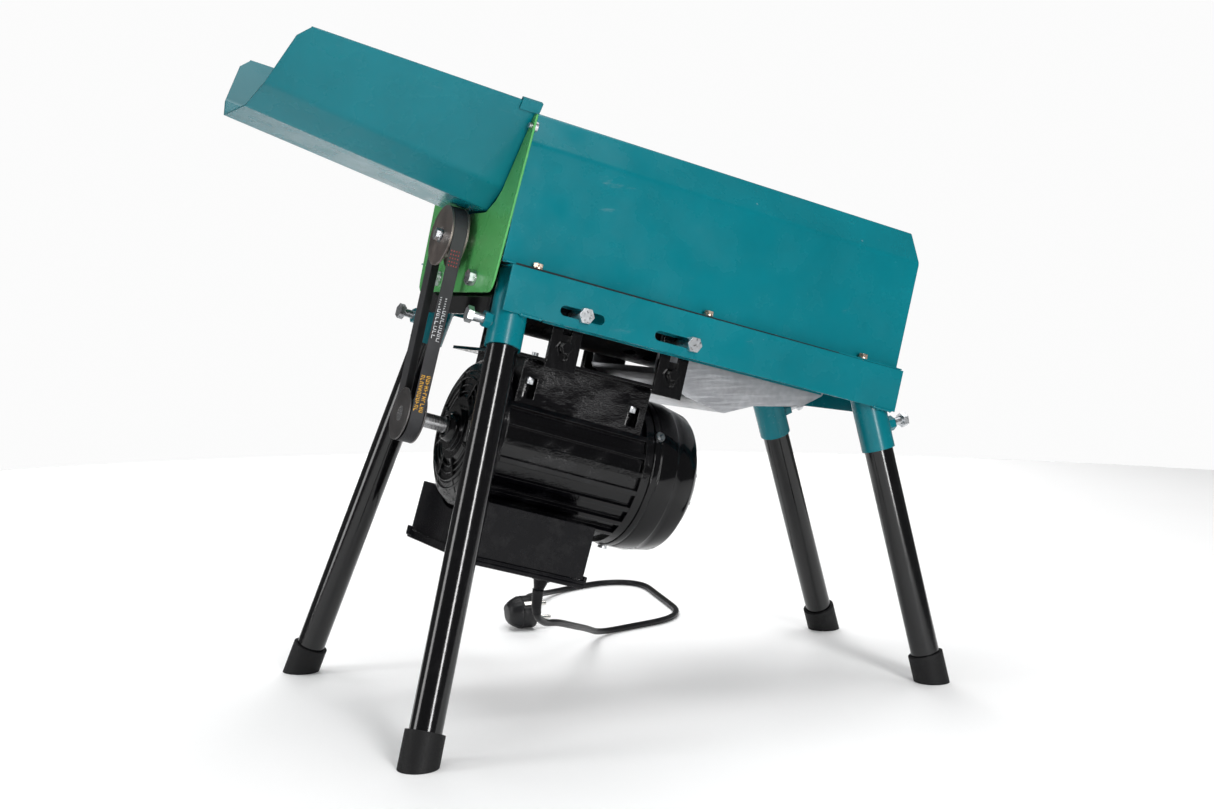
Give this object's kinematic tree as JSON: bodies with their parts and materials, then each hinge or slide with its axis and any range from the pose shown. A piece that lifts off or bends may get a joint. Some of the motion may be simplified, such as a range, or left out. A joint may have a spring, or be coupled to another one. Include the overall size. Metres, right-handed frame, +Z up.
{
  "type": "electric corn sheller",
  "caption": "Electric corn sheller: a sloping covered drum on four splayed legs, with a feed chute at the high end, a belt-driving motor hung below and a mains cord.",
  "frame": {"origin": "on the floor, under the middle of the machine without its cord", "axes": "+X along the machine towards the cob outlet, +Y across to the side away from the rail slots seen first, +Z up"},
  "size_m": [0.7158, 0.697, 0.6022],
  "materials": {
    "teal_paint": "gloss paint",
    "green_paint": "gloss paint",
    "black_paint": "gloss paint",
    "motor_paint": "gloss black paint over cast aluminium",
    "galvanised": "spangled zinc",
    "zinc_fastener": "bright zinc plate",
    "yellow_zinc": "yellow passivated zinc",
    "turned_steel": "turned, oiled",
    "bright_steel": "ground",
    "bare_cast_iron": "as cast",
    "lamination_steel": "stacked laminations",
    "belt_rubber": "fabric-wrapped, matte",
    "foot_rubber": "matte",
    "black_plastic": "moulded, satin",
    "cord_rubber": "matte",
    "nickel_pins": "nickel plate"
  },
  "bodies": {
    "frame": {"near_side_rail": "teal_paint", "far_side_rail": "teal_paint", "front_near_leg_socket": "teal_paint", "front_far_leg_socket": "teal_paint", "rear_near_leg_socket": "teal_paint", "rear_far_leg_socket": "teal_paint", "top_cover": "teal_paint", "outlet_plate": "teal_paint", "rear_cross_member": "teal_paint", "feed_plate": "green_paint", "front_cross_member": "black_paint", "front_near_leg": "black_paint", "front_far_leg": "black_paint", "rear_near_leg": "black_paint", "rear_far_leg": "black_paint", "front_near_bracket": "black_paint", "front_far_bracket": "black_paint", "rear_near_bracket": "black_paint", "rear_far_bracket": "black_paint", "concave_sieve": "black_paint", "grain_pan": "galvanised", "leg_clamp_bolts": "zinc_fastener", "feed_plate_bolts": "zinc_fastener", "rail_slot_bolts": "zinc_fastener", "housing_bolts": "zinc_fastener", "cover_bolts": "yellow_zinc", "rotor_bearings": "bright_steel", "front_bearing_housing": "bare_cast_iron", "rear_bearing_housing": "bare_cast_iron", "drive_belt": "belt_rubber", "rubber_feet": "foot_rubber"},
    "chute": {"feed_chute": "teal_paint", "chute_hooks": "teal_paint"},
    "rotor": {"rotor_shaft": "bright_steel", "threshing_drum": "black_paint", "rotor_pulley": "turned_steel", "rotor_pulley_bolt": "zinc_fastener"},
    "motor": {"motor_base_plate": "black_paint", "base_plate_bolts": "black_paint", "motor_mount_bolts": "zinc_fastener", "motor_housing": "motor_paint", "front_end_bell": "motor_paint", "rear_end_bell": "motor_paint", "stator_core": "lamination_steel", "motor_bearings": "bright_steel", "fan_cover": "black_paint", "fan_cover_screws": "zinc_fastener", "terminal_box": "black_plastic", "terminal_box_lid": "black_plastic", "run_capacitor": "black_plastic", "cable_gland": "black_plastic", "power_cord": "cord_rubber", "plug_body": "black_plastic", "plug_pins": "nickel_pins"},
    "armature": {"motor_shaft": "bright_steel", "rotor_core": "lamination_steel", "cooling_fan": "black_plastic", "motor_pulley": "turned_steel"}
  },
  "joints": [
    {"name": "chute_lift", "type": "slide", "parent": "frame", "child": "chute", "axis": [0.2419, 0, 0.9703], "range_m": [0, 0.1]},
    {"name": "rotor_spin", "type": "hinge", "parent": "frame", "child": "rotor", "pos_m": [0.05541, 0, 0.38211], "axis": [0.9703, 0, -0.2419], "continuous": true},
    {"name": "motor_adjust", "type": "slide", "parent": "frame", "child": "motor", "axis": [0.2419, 0, 0.9703], "range_m": [0, 0.004]},
    {"name": "motor_spin", "type": "hinge", "parent": "motor", "child": "armature", "pos_m": [-0.20222, 0, 0.27268], "axis": [0.9613, 0, -0.2756], "continuous": true}
  ],
  "couplings": [
    {"joint": "motor_spin", "follows": "rotor_spin", "ratio": 1.1839}
  ]
}
